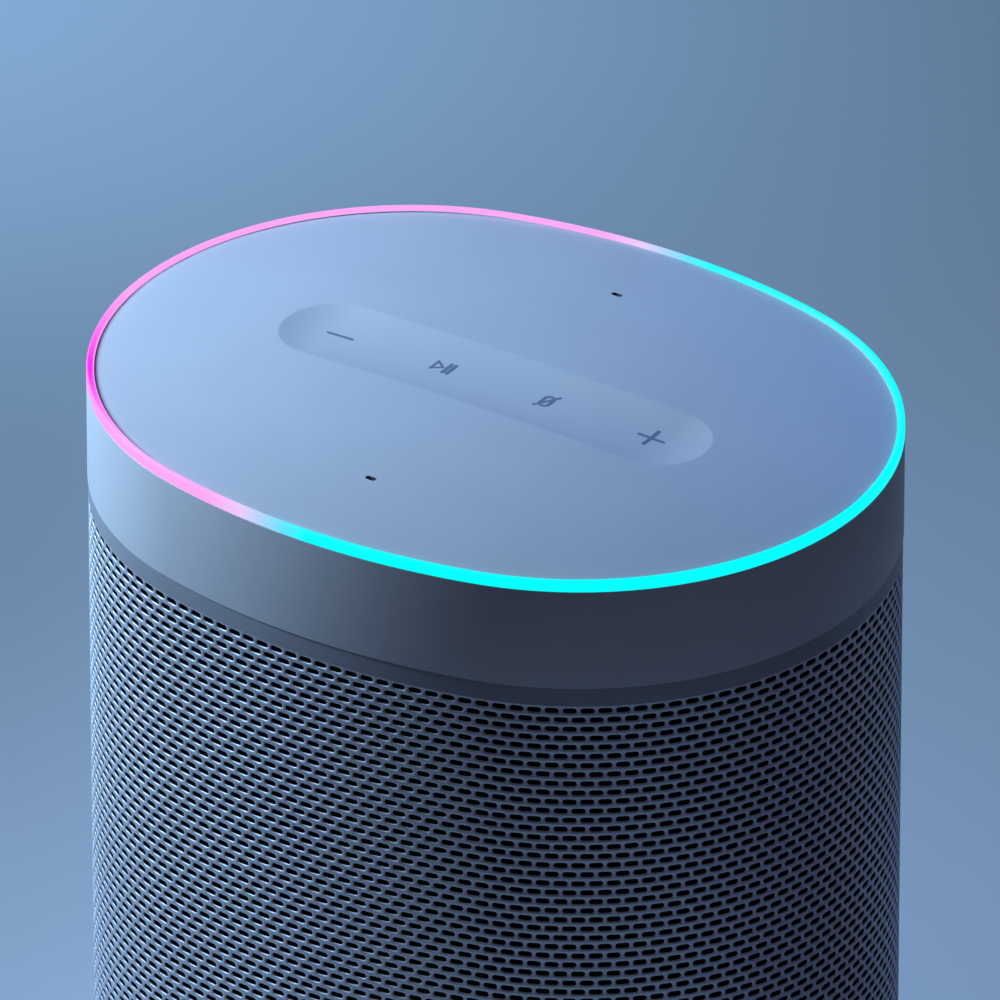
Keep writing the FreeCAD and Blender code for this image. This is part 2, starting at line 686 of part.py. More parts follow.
# ---- sleeve and cloth ----
def grille_sleeve():
    return oval_ring(SLEEVE_STEP, SLEEVE_STEP + SLEEVE_THICKNESS, BASE_TOP, BAND_BOTTOM)


def grille_cloth():
    inset = SLEEVE_STEP + SLEEVE_THICKNESS + 0.05
    return oval_ring(inset, inset + CLOTH_THICKNESS, BASE_TOP + 0.5, BAND_BOTTOM - 0.5)


# ---- base ----
def diffuser():
    """Flared cone under the driver, on a plate that covers the base pan."""
    top = DIFFUSER_Z + DIFFUSER_THICKNESS
    plate = oval_plate(INNER_INSET + 0.4, DIFFUSER_Z, top)
    tip = 2.0
    base = 36.0
    flare = Part.Arc(Vector(base, 0, top), Vector(13.0, 0, top + 9.0),
                     Vector(tip, 0, DIFFUSER_TOP)).toShape()
    corners = [Vector(tip, 0, DIFFUSER_TOP), Vector(0, 0, DIFFUSER_TOP), Vector(0, 0, top - 1),
               Vector(base, 0, top - 1), Vector(base, 0, top)]
    sides = [Part.makeLine(first, last) for first, last in zip(corners, corners[1:])]
    horn = Part.Face(Part.Wire([flare] + sides)).revolve(CENTRE, UP, 360)
    holes = [disc(TIE_CLEARANCE, DIFFUSER_Z - 1, top + 1, x, y)
             for x, y in mirrored_places(POST_X, POST_Y)]
    holes.append(cable_hole(DIFFUSER_Z - 1, top + 1))
    return plate.fuse(horn).cut(holes)


def support_posts():
    low = DIFFUSER_Z + DIFFUSER_THICKNESS
    return group([tube(POST_RADIUS, TIE_CLEARANCE, low, BAFFLE_Z, x, y)
                  for x, y in mirrored_places(POST_X, POST_Y)])


def base_pan():
    """Pan with the visible base wall, a lip inside the sleeve, screw pillars and the jack's bay."""
    floor_top = BASE_BOTTOM + 1.8
    pan = oval_plate(0, BASE_BOTTOM, BASE_TOP)
    lower = [edge for edge in pan.Edges if edge.BoundBox.ZMax < BASE_BOTTOM + 0.01]
    pan = pan.makeFillet(1.0, lower)
    pan = pan.cut(oval_plate(WALL, floor_top, BASE_TOP + 1))
    pan = pan.fuse(oval_ring(INNER_INSET, WALL + 1.0, BASE_TOP - 3, BASE_TOP + BASE_LIP))
    for x, y in mirrored_places(POST_X, POST_Y):
        pan = pan.fuse(disc(POST_RADIUS, BASE_BOTTOM, DIFFUSER_Z, x, y))
        pan = pan.cut([disc(TIE_CLEARANCE, BASE_BOTTOM - 1, DIFFUSER_Z + 1, x, y),
                       disc(TIE_HEAD + 0.2, BASE_BOTTOM - 1, TIE_SEAT, x, y)])
    bay = block(JACK_WIDTH + 2 * GAP, JACK_DEPTH + 2 * GAP, jack_low() - GAP, DIFFUSER_Z + 1, 0,
                jack_front() - JACK_DEPTH / 2)
    mouth = along_y(JACK_BORE_RADIUS + 0.4, HALF_WIDTH - 6, HALF_WIDTH + 2)
    groove = oval_ring(FOOT_INSET - GAP / 2, FOOT_INSET + FOOT_WIDTH + GAP / 2, BASE_BOTTOM - 1,
                       BASE_BOTTOM + FOOT_SEAT)
    return pan.cut([bay, mouth, groove, cable_hole(jack_low() + JACK_HEIGHT, DIFFUSER_Z)])


def base_foot():
    """Silicone foot ring set in a groove under the pan."""
    return oval_ring(FOOT_INSET, FOOT_INSET + FOOT_WIDTH, 0, BASE_BOTTOM + FOOT_SEAT)


def tie_screws():
    """Long screws from under the base through the posts into the enclosure."""
    length = BAFFLE_Z + 8 - TIE_SEAT
    return group([screw(x, y, TIE_SEAT, length, head_up=False, shank=TIE_CORE, head=TIE_HEAD,
                        head_height=1.8)
                  for x, y in mirrored_places(POST_X, POST_Y)])


def jack_front():
    return HALF_WIDTH - WALL


def jack_low():
    return JACK_Z - JACK_HEIGHT / 2


def along_y(radius, front, back):
    """A cylinder on the jack's axis, between two places along Y."""
    return Part.makeCylinder(radius, back - front, Vector(0, front, JACK_Z), Vector(0, 1, 0))


def dc_jack_housing():
    body = block(JACK_WIDTH, JACK_DEPTH, jack_low(), jack_low() + JACK_HEIGHT, 0,
                 jack_front() - JACK_DEPTH / 2)
    bore = along_y(JACK_BORE_RADIUS, jack_front() - JACK_BORE_DEPTH, jack_front())
    pin_seat = along_y(JACK_TAIL_RADIUS, jack_front() - JACK_DEPTH, jack_front())
    slot = block(2.2, 6.0, JACK_Z + 2.0, JACK_Z + 3.3, 0, jack_front() - 5.0)
    return body.cut([bore, pin_seat, slot])


def dc_jack_pin():
    """Centre pin with a domed end, and the thinner solder tail that holds it in the housing."""
    root = jack_front() - JACK_BORE_DEPTH
    tip = jack_front() - 0.8
    pin = along_y(JACK_PIN_RADIUS, root, tip)
    pin = pin.makeFillet(0.4, [edge for edge in pin.Edges if edge.BoundBox.YMin > tip - 0.01])
    return pin.fuse(along_y(JACK_TAIL_RADIUS, jack_front() - JACK_DEPTH - 2.5, root))


def dc_jack_contact():
    """Sprung leaf in the roof of the bore that touches the plug's barrel."""
    return block(2.0, 5.6, JACK_Z + 2.95, JACK_Z + 3.25, 0, jack_front() - 5.0)


def cable_y():
    """The power cable runs up between the sleeve and the enclosure, at the back."""
    return HALF_WIDTH - (INNER_INSET + ENCLOSURE_INSET) / 2 - 3 * GAP


def cable_hole(low, high):
    return disc(CABLE_RADIUS + GAP, low, high, 0, cable_y())


def power_cable():
    """Straight up from the jack, then round one bend to its plug on the main board."""
    top = MAIN_BOARD_Z + MAIN_BOARD_THICKNESS + 1.3
    low = Vector(0, cable_y(), jack_low() + JACK_HEIGHT)
    before = Vector(0, cable_y(), top - CABLE_BEND)
    after = Vector(0, cable_y() - CABLE_BEND, top)
    slant = CABLE_BEND * math.cos(math.pi / 4)
    middle = Vector(0, cable_y() - CABLE_BEND + slant, top - CABLE_BEND + slant)
    path = Part.Wire([Part.makeLine(low, before), Part.Arc(before, middle, after).toShape(),
                      Part.makeLine(after, Vector(0, PLUG_Y + 2.5, top))])
    section = Part.Wire(Part.makeCircle(CABLE_RADIUS, low, UP))
    return path.makePipeShell([section], True, False)


def power_plug():
    low = MAIN_BOARD_Z + MAIN_BOARD_THICKNESS
    return block(6.0, 5.0, low, low + 3.2, 0, PLUG_Y)


def build():
    cover, icons = top_cover_and_icons()
    parts = {"top_cover": cover, "touch_icons": icons}
    makers = [
        light_ring, light_shield, upper_band,
        control_board, control_board_screws, led_chips, microphone_capsules, microphone_gaskets,
        microphone_screens, touch_pads, ribbon_cable,
        main_board, board_standoffs, main_board_screws, shield_can, processor_chips, heat_sink,
        amplifier_chip, capacitors, wifi_antennas, chassis_plate, chassis_screws, enclosure_screws,
        enclosure_gasket, enclosure_shell,
        driver_gasket, driver_basket, driver_screws, top_plate, magnet, yoke, surround, spider, cone,
        dust_cap, coil_former, coil_winding, driver_terminals, driver_leads,
        grille_sleeve, grille_cloth, diffuser, support_posts, base_pan, base_foot, tie_screws,
        dc_jack_housing, dc_jack_pin, dc_jack_contact, power_cable, power_plug,
    ]
    for maker in makers:
        parts[maker.__name__] = maker()
    return parts


def main():
    os.makedirs("parts", exist_ok=True)
    for name, shape in build().items():
        shape.exportStep(f"parts/{name}.step")
        box = shape.BoundBox
        print(f"{name:22s} solids {len(shape.Solids):3d} valid {shape.isValid()} "
              f"volume {shape.Volume:10.1f} z {box.ZMin:7.2f} {box.ZMax:7.2f}")


main()
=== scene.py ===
import json
import math

import bpy
import bmesh
import numpy as np
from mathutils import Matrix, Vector


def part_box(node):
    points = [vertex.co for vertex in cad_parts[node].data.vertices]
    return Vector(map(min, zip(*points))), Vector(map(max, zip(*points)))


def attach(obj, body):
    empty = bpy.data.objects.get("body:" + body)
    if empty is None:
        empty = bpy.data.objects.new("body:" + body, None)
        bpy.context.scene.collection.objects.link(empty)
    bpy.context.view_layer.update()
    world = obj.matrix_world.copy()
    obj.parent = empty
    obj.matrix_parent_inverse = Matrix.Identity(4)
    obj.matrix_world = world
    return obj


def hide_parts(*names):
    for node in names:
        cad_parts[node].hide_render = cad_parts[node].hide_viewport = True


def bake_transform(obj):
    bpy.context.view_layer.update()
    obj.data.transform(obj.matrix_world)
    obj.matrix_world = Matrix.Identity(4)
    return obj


# Looks of the smart speaker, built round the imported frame. Lengths are in millimetres until a mesh
# is written, when they become metres. The column is an oval of four tangent arcs.

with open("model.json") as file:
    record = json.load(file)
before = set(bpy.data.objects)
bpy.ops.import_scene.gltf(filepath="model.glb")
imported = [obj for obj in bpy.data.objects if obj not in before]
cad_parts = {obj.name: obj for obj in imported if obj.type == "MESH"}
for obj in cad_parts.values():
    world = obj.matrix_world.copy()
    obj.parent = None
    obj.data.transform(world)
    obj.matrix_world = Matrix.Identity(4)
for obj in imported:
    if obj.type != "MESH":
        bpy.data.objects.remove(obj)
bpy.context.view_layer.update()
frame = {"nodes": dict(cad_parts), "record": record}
MM = 0.001


def box_mm(node):
    low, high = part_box(node)
    return low / MM, high / MM


# ---- sizes that the frame doesn't hold ----
END_RADIUS = 50.0             # radius of the oval's two end arcs
RING_STAND = 0.6              # the light ring stands this far above the cover's edge
RING_GAP = 0.02               # between the light ring and the cover
RING_SLOPE = 0.5              # width of the ring's sloped inner side
COVER_RIB = 2.5               # the CAD cover's hidden rib reaches this far below its shell
CLOTH_GAP = 0.05              # between the sleeve and the cloth behind it

# ---- sizes read from the frame ----
BAND_HIGH = box_mm("upper_band")[1]
RING_LOW, RING_HIGH = box_mm("light_ring")
COVER_LOW, COVER_HIGH = box_mm("top_cover")
SLEEVE_LOW, SLEEVE_HIGH = box_mm("grille_sleeve")
CLOTH_HIGH = box_mm("grille_cloth")[1]
HALF_LENGTH = BAND_HIGH.x
HALF_WIDTH = BAND_HIGH.y
RING_TOP = RING_HIGH.z
RING_SIDE = RING_TOP - BAND_HIGH.z
BAND_BOTTOM = SLEEVE_HIGH.z
COVER_INSET = HALF_LENGTH - COVER_HIGH.x
RING_WIDTH = COVER_INSET - RING_GAP
CROWN = COVER_HIGH.z - RING_TOP + RING_STAND
COVER_UNDER = COVER_LOW.z + COVER_RIB
SLEEVE_STEP = HALF_LENGTH - SLEEVE_HIGH.x
SLEEVE_THICKNESS = SLEEVE_HIGH.x - CLOTH_HIGH.x - CLOTH_GAP

# ---- dish, marks and microphone holes ----
DISH_HALF_SPAN = 30.0
DISH_HALF_WIDTH = 8.35
DISH_DEPTH = 0.8
DISH_RIM_SOFTNESS = 0.03
RIM_ROUND = 0.05              # rounding of the cover's outer edge
ICON_PITCH = 19.1
MIC_OFFSET = 34.2
MIC_SLOT_HALF_LENGTH = 0.9
MIC_SLOT_HALF_WIDTH = 0.42

# ---- slots of the sleeve ----
SLOTS_PER_ROW = 138
SLOT_ROWS = 71
ROW_PITCH = 1.61
FIRST_ROW_DROP = 3.95         # sleeve's upper edge to the first row's middle
SLOT_LENGTH = 2.2
SLOT_HEIGHT = 0.88
SLOT_ROLL = 0.1               # width and depth of the rolled edge round each slot
SLOT_END_STEPS = 4            # straight pieces in each rounded slot end
ROWS_PER_PIECE = 11

AROUND = 864                  # points round the oval on the smooth shells


# ---- oval helpers ----
class Oval:
    """Stations evenly spaced round the outline; at(inset) gives their points at any inset."""

    def __init__(self, count):
        end_x = HALF_LENGTH - END_RADIUS
        side_radius = (end_x ** 2 + HALF_WIDTH ** 2 - END_RADIUS ** 2) / (2 * (HALF_WIDTH - END_RADIUS))
        side_y = side_radius - HALF_WIDTH
        turn = math.atan2(side_y, end_x)
        arcs = [(end_x, 0, END_RADIUS, -turn, 2 * turn),
                (0, -side_y, side_radius, turn, math.pi - 2 * turn),
                (-end_x, 0, END_RADIUS, math.pi - turn, 2 * turn),
                (0, side_y, side_radius, math.pi + turn, math.pi - 2 * turn)]
        ends = np.cumsum([arc[2] * arc[4] for arc in arcs])
        travel = np.arange(count) * ends[-1] / count
        part = np.searchsorted(ends, travel, side="right")
        starts = np.concatenate([[0], ends[:-1]])
        table = np.array(arcs)[part]
        self.angle = table[:, 3] + (travel - starts[part]) / table[:, 2]
        self.turn = turn
        self.part = part
        self.centre = table[:, :2]
        self.radius = table[:, 2]
        self.out = np.stack([np.cos(self.angle), np.sin(self.angle)], 1)
        self.perimeter = ends[-1]

    def at(self, inset):
        return self.centre + (self.radius - inset)[:, None] * self.out


SMOOTH = Oval(AROUND)


# ---- mesh helpers ----
def make_piece(name, points, faces, body="housing", crease=40):
    """A mesh piece from millimetre points, smooth except at edges sharper than crease degrees."""
    mesh = bpy.data.meshes.new(name)
    mesh.from_pydata((np.asarray(points, float) * MM).tolist(), [], faces)
    mesh.validate()
    piece = bpy.data.objects.new(name, mesh)
    bpy.context.scene.collection.objects.link(piece)
    soften(piece, crease)
    if body:
        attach(piece, body)
    return piece


def soften(piece, crease=40):
    mesh = piece.data
    mesh.polygons.foreach_set("use_smooth", np.ones(len(mesh.polygons), bool))
    mesh.set_sharp_from_angle(angle=math.radians(crease))
    mesh.update()


def weld_and_orient(piece, distance=0.002):
    """Merges doubled points and turns every face outwards."""
    work = bmesh.new()
    work.from_mesh(piece.data)
    bmesh.ops.remove_doubles(work, verts=work.verts, dist=distance * MM)
    bmesh.ops.dissolve_degenerate(work, edges=work.edges, dist=distance * MM * 0.1)
    bmesh.ops.recalc_face_normals(work, faces=work.faces)
    work.to_mesh(piece.data)
    work.free()


def ring_faces(rings, count, closed_section=True):
    """Quads between rings of count points each; the last ring joins the first when closed."""
    faces = []
    last = rings if closed_section else rings - 1
    around = np.arange(count)
    ahead = (around + 1) % count
    for ring in range(last):
        here = ring * count
        there = (ring + 1) % rings * count
        faces.extend(np.stack([here + around, here + ahead, there + ahead, there + around], 1).tolist())
    return faces


def rounded(corners, steps=5):
    """A closed section from (inset, height, corner radius), each corner turned into a short arc."""
    section = []
    count = len(corners)
    for index in range(count):
        point = np.array(corners[index][:2], float)
        radius = corners[index][2]
        if radius <= 0:
            section.append(tuple(point))
            continue
        before = np.array(corners[index - 1][:2], float) - point
        after = np.array(corners[(index + 1) % count][:2], float) - point
        before /= np.linalg.norm(before)
        after /= np.linalg.norm(after)
        half = math.acos(float(np.clip(before @ after, -1, 1))) / 2
        reach = radius / math.tan(half)
        middle = point + (before + after) / np.linalg.norm(before + after) * radius / math.sin(half)
        first = point + before * reach - middle
        last = point + after * reach - middle
        for step in range(steps + 1):
            part = step / steps
            spoke = first * (1 - part) + last * part
            section.append(tuple(middle + spoke / np.linalg.norm(spoke) * radius))
    return section


def sweep(name, corners, oval=SMOOTH, steps=5, crease=40):
    """A closed section carried round the oval."""
    section = rounded(corners, steps)
    points = []
    for inset, height in section:
        flat = oval.at(inset)
        points.append(np.column_stack([flat, np.full(len(flat), height)]))
    piece = make_piece(name, np.concatenate(points), ring_faces(len(section), len(oval.out)), crease=crease)
    insets = np.repeat([inset for inset, height in section], len(oval.out))
    piece.data.attributes.new("inset", "FLOAT", "POINT").data.foreach_set("value", insets.astype(np.float32))
    weld_and_orient(piece)
    soften(piece, crease)
    return piece


# ---- top cover ----
def crown_height(x, y):
    """Height of the cover's crown, without the dish."""
    rim = HALF_LENGTH - COVER_INSET
    radius = (rim ** 2 + CROWN ** 2) / (2 * CROWN)
    stretch = rim / (HALF_WIDTH - COVER_INSET)
    return COVER_HIGH.z - radius + np.sqrt(radius ** 2 - x ** 2 - (y * stretch) ** 2)


def cover_height(x, y):
    """Crown with the shallow pill-shaped dish; the dish's rim is slightly rounded."""
    beyond = np.maximum(np.abs(x) - DISH_HALF_SPAN, 0)
    away = np.hypot(beyond, y) / DISH_HALF_WIDTH
    bowl = DISH_DEPTH * (1 - away ** 2)
    drop = 0.5 * (bowl + np.sqrt(bowl ** 2 + DISH_RIM_SOFTNESS ** 2))
    return crown_height(x, y) - drop


def pill_stations(oval):
    """For each station round the oval, its spine point and outward direction on the dish."""
    first_side = oval.part == 1
    second_side = oval.part == 3
    sweep_angle = np.where(oval.angle > math.pi / 2, oval.angle - math.pi, oval.angle)
    cap = np.where(oval.part == 0, oval.angle, sweep_angle) * (math.pi / 2) / oval.turn
    cap = np.where(oval.part == 2, cap + math.pi, cap)
    cap = np.where(first_side, math.pi / 2, cap)
    cap = np.where(second_side, -math.pi / 2, cap)
    span = math.pi - 2 * oval.turn
    along = np.where(first_side, 1 - 2 * (oval.angle - oval.turn) / span, 0.0)
    along = np.where(second_side, -1 + 2 * (oval.angle - math.pi - oval.turn) / span, along)
    spine_x = np.where(oval.part == 0, DISH_HALF_SPAN, -DISH_HALF_SPAN)
    spine_x = np.where(first_side | second_side, along * DISH_HALF_SPAN, spine_x)
    return np.stack([spine_x, np.zeros_like(spine_x)], 1), np.stack([np.cos(cap), np.sin(cap)], 1)


def cover_rings():
    """Plan-view rings of the cover from the dish's spine out to the rim."""
    spine, out = pill_stations(SMOOTH)
    shares = np.concatenate([np.linspace(0, 0.94, 26), np.linspace(0.95, 1.08, 20)])
    rings = [spine + out * DISH_HALF_WIDTH * share for share in shares]
    start = rings[-1]
    for share in np.linspace(0, 1, 60)[1:]:
        eased = share ** 1.25
        rings.append(start * (1 - eased) + SMOOTH.at(COVER_INSET + RIM_ROUND) * eased)
    return rings


def top_cover(plastic, hole_shade):
    points = []
    for ring in cover_rings():
        points.append(np.column_stack([ring, cover_height(ring[:, 0], ring[:, 1])]))
    rim_height = crown_height(HALF_LENGTH - COVER_INSET, 0.0)
    for step in range(1, 6):
        turn = step / 5 * math.pi / 2
        flat = SMOOTH.at(COVER_INSET + RIM_ROUND * (1 - math.sin(turn)))
        height = rim_height - RIM_ROUND * (1 - math.cos(turn))
        points.append(np.column_stack([flat, np.full(AROUND, height)]))
    points.append(np.column_stack([SMOOTH.at(COVER_INSET), np.full(AROUND, COVER_UNDER)]))
    spine, out = pill_stations(SMOOTH)
    for ring in (spine + out * DISH_HALF_WIDTH, spine):
        points.append(np.column_stack([ring, np.full(AROUND, COVER_UNDER)]))
    piece = make_piece("top_cover_shell", np.concatenate(points), ring_faces(len(points), AROUND, False))
    weld_and_orient(piece)
    piece.data.materials.append(plastic)
    for side in (-1, 1):
        drill(piece, side * MIC_OFFSET, hole_shade)
    soften(piece, 30)
    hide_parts("top_cover")


def drill(piece, y, hole_shade):
    """Cuts a microphone slot along X whose walls take a near-black material, painted shade standing in for
    the shadow inside the hole.
    """
    around = 48
    reach = MIC_SLOT_HALF_LENGTH - MIC_SLOT_HALF_WIDTH
    surface = float(cover_height(np.array(0.0), np.array(y)))
    loops = []                    # a straight bore that opens slightly at its mouth
    for grow, height in ((0, COVER_UNDER - 1), (0, surface - 0.06), (0.02, surface - 0.02),
                         (0.06, surface + 0.03), (0.06, surface + 0.3)):
        radius = MIC_SLOT_HALF_WIDTH + grow
        turn = (np.arange(around) + 0.5) * 2 * math.pi / around
        shift = np.where(np.cos(turn) > 0, reach, -reach)
        loops.append(np.column_stack([shift + radius * np.cos(turn), y + radius * np.sin(turn),
                                      np.full(around, height)]))
    faces = ring_faces(len(loops), around, False)
    faces.append(list(range(around))[::-1])
    faces.append(list(range((len(loops) - 1) * around, len(loops) * around)))
    tool = make_piece("drill", np.concatenate(loops), faces)
    tool.data.materials.append(hole_shade)
    carve(piece, tool, "DIFFERENCE")


def carve(piece, tool, operation):
    """Applies a boolean with the tool, which is then removed."""
    cut = piece.modifiers.new("cut", "BOOLEAN")
    cut.operation = operation
    cut.object = tool
    cut.solver = "EXACT"
    cut.material_mode = "TRANSFER"
    bpy.context.view_layer.update()
    result = bpy.data.meshes.new_from_object(piece.evaluated_get(bpy.context.evaluated_depsgraph_get()))
    piece.modifiers.clear()
    piece.data = result
    bpy.data.objects.remove(tool)


# ---- touch marks ----
ICON_HALF_STROKE = 0.3
ICON_RAISE = 0.03             # the print stands this far above the dish
ICON_SINK = 0.1               # and reaches this far into it
ICON_HALF = 2.2               # half the length of the minus and plus strokes
MIC_MARK_RADIUS = 1.05        # the microphone mark is a hollow pill crossed by a slash
MIC_MARK_HOLLOW = 0.5
MIC_MARK_HALF_SPAN = 0.7
SLASH_X = 1.25                # half the slash's reach along X and Y
SLASH_Y = 1.95
SLASH_HALF_WIDTH = 0.24
PAUSE_OFFSETS = (0.7, 1.5)    # the two bars, right of the mark's middle
PAUSE_HALF_HEIGHT = 1.4


def bar_prism(name, start, end, half_width=ICON_HALF_STROKE):
    """A round-ended bar between two plan points, sliced along its length so that it can bend."""
    start, end = np.array(start, float), np.array(end, float)
    length = np.linalg.norm(end - start)
    along = (end - start) / length
    slices = max(2, int(length / 0.35))
    outline = []
    for centre, facing in ((end, along), (start, -along)):
        side = np.array([-facing[1], facing[0]])
        cap = [centre + (facing * math.cos(turn) + side * math.sin(turn)) * half_width
               for turn in np.linspace(-math.pi / 2, math.pi / 2, 9)]
        run = [centre + side * half_width - facing * length * step / slices for step in range(1, slices)]
        outline.extend(cap + run)
    return prism(name, outline)


def prism(name, outline):
    count = len(outline)
    low = [(x, y, -1.0) for x, y in outline]
    high = [(x, y, 1.0) for x, y in outline]
    faces = [[index, (index + 1) % count, count + (index + 1) % count, count + index]
             for index in range(count)]
    faces.append(list(range(count))[::-1])
    faces.append(list(range(count, 2 * count)))
    return make_piece(name, low + high, faces)


def pill_outline(x, radius, half_span):
    return [(x + radius * math.cos(turn), math.copysign(half_span, math.sin(turn + 1e-9)) +
             radius * math.sin(turn)) for turn in np.arange(40) * 2 * math.pi / 40]


def triangle_outline(x, left, right, half_height):
    return [(x + left, -half_height), (x + right, 0), (x + left, half_height)]


def plus_mark(x):
    piece = bar_prism("plus_mark", (x - ICON_HALF, 0), (x + ICON_HALF, 0))
    carve(piece, bar_prism("arm", (x, -ICON_HALF), (x, ICON_HALF)), "UNION")
    return piece


def microphone_off_mark(x):
    piece = prism("microphone_off_mark", pill_outline(x, MIC_MARK_RADIUS, MIC_MARK_HALF_SPAN))
    hollow = prism("hollow", pill_outline(x, MIC_MARK_HOLLOW, MIC_MARK_HALF_SPAN))
    carve(piece, hollow, "DIFFERENCE")
    slash = bar_prism("slash", (x - SLASH_X, -SLASH_Y), (x + SLASH_X, SLASH_Y), SLASH_HALF_WIDTH)
    carve(piece, slash, "UNION")
    return piece


def play_mark(x):
    piece = prism("play_mark", triangle_outline(x, -1.8, 0.3, 1.6))
    carve(piece, prism("hollow", triangle_outline(x, -1.4, -0.4, 0.8)), "DIFFERENCE")
    return piece


def lay_on_dish(piece, ink):
    """Turns a plan-view prism into a thin print that follows the dish."""
    mesh = piece.data
    co = np.empty(len(mesh.vertices) * 3)
    mesh.vertices.foreach_get("co", co)
    co = co.reshape(-1, 3) / MM
    surface = cover_height(co[:, 0], co[:, 1])
    co[:, 2] = np.where(co[:, 2] > 0, surface + ICON_RAISE, surface - ICON_SINK)
    mesh.vertices.foreach_set("co", (co * MM).ravel())
    soften(piece, 30)
    mesh.materials.clear()
    mesh.materials.append(ink)
    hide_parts("touch_icons")


def touch_marks(ink):
    places = [(index - 1.5) * ICON_PITCH for index in range(4)]
    marks = [bar_prism("minus_mark", (places[0] - ICON_HALF, 0), (places[0] + ICON_HALF, 0)),
             play_mark(places[1])]
    for number, offset in enumerate(PAUSE_OFFSETS, 1):
        x = places[1] + offset
        marks.append(bar_prism(f"pause_mark_{number}", (x, -PAUSE_HALF_HEIGHT), (x, PAUSE_HALF_HEIGHT)))
    marks += [microphone_off_mark(places[2]), plus_mark(places[3])]
    for mark in marks:
        lay_on_dish(mark, ink)


# ---- light ring, band, base pan ----
def light_ring():
    """Light guide: a visible head at the rim, a web under the cover and a skirt above the LEDs."""
    neck, skirt_outer, skirt_inner = 0.85, 2.2, 3.8
    head_low = RING_TOP - RING_SIDE
    slope_foot = RING_TOP - RING_STAND + 0.05
    web_top = COVER_UNDER - 0.05
    web_low = web_top - 0.7
    piece = sweep("light_ring_guide", [
        (0, RING_TOP, 0.45), (0, head_low, 0.05), (neck, head_low, 0), (neck, web_low, 0),
        (skirt_outer, web_low, 0), (skirt_outer, RING_LOW.z, 0), (skirt_inner, RING_LOW.z, 0),
        (skirt_inner, web_top, 0), (RING_WIDTH, web_top, 0), (RING_WIDTH, slope_foot, 0),
        (RING_WIDTH - RING_SLOPE, RING_TOP, 0.2)])
    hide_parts("light_ring")
    return piece


def upper_band():
    """Band shell with its flange over the chassis plate and its ledge under the control board."""
    lip, wall, flange_outer, flange_inner, ledge_inner = 0.8, 2.0, 1.2, 8.0, 12.0
    seat = COVER_UNDER - 0.75
    lip_top = BAND_HIGH.z
    board = box_mm("control_board")[0].z
    ledge_low = board - 1.2
    chassis_top = box_mm("chassis_plate")[1].z
    piece = sweep("upper_band_shell", [
        (0, lip_top, 0.12), (0, BAND_BOTTOM, 0.1), (flange_outer, BAND_BOTTOM, 0),
        (flange_outer, chassis_top, 0), (flange_inner, chassis_top, 0), (flange_inner, BAND_BOTTOM, 0),
        (wall, BAND_BOTTOM, 0.4), (wall, ledge_low, 0), (ledge_inner, ledge_low, 0), (ledge_inner, board, 0),
        (wall, board, 0), (wall, seat, 0), (lip, seat, 0), (lip, lip_top, 0)])
    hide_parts("upper_band")
    return piece


# ---- perforated sleeve ----
def slot_outline(grow):
    """Points round one slot, counter-clockwise from its right end, grown by a margin."""
    radius = SLOT_HEIGHT / 2 + grow
    half = SLOT_LENGTH / 2 - SLOT_HEIGHT / 2
    points = []
    for side, start in ((1, -math.pi / 2), (-1, math.pi / 2)):
        for step in range(SLOT_END_STEPS + 1):
            turn = start + step * math.pi / SLOT_END_STEPS
            points.append((side * half + radius * math.cos(turn), radius * math.sin(turn)))
        points.append((0, radius if side > 0 else -radius))
    return np.array(points)


def bridge(outer, inner, outer_angle, inner_angle):
    """Faces between two loops of different counts, walking both by angle."""
    faces = []
    order_out = np.argsort(outer_angle)
    order_in = np.argsort(inner_angle)
    i = j = 0
    while i < len(outer) or j < len(inner):
        next_out = outer_angle[order_out[i % len(outer)]] + 2 * math.pi * (i // len(outer))
        next_in = inner_angle[order_in[j % len(inner)]] + 2 * math.pi * (j // len(inner))
        here_out = outer[order_out[(i - 1) % len(outer)]]
        here_in = inner[order_in[(j - 1) % len(inner)]]
        if j >= len(inner) or (i < len(outer) and next_out <= next_in):
            faces.append((here_out, outer[order_out[i]], here_in))
            i += 1
        else:
            faces.append((here_out, inner[order_in[j]], here_in))
            j += 1
    return faces


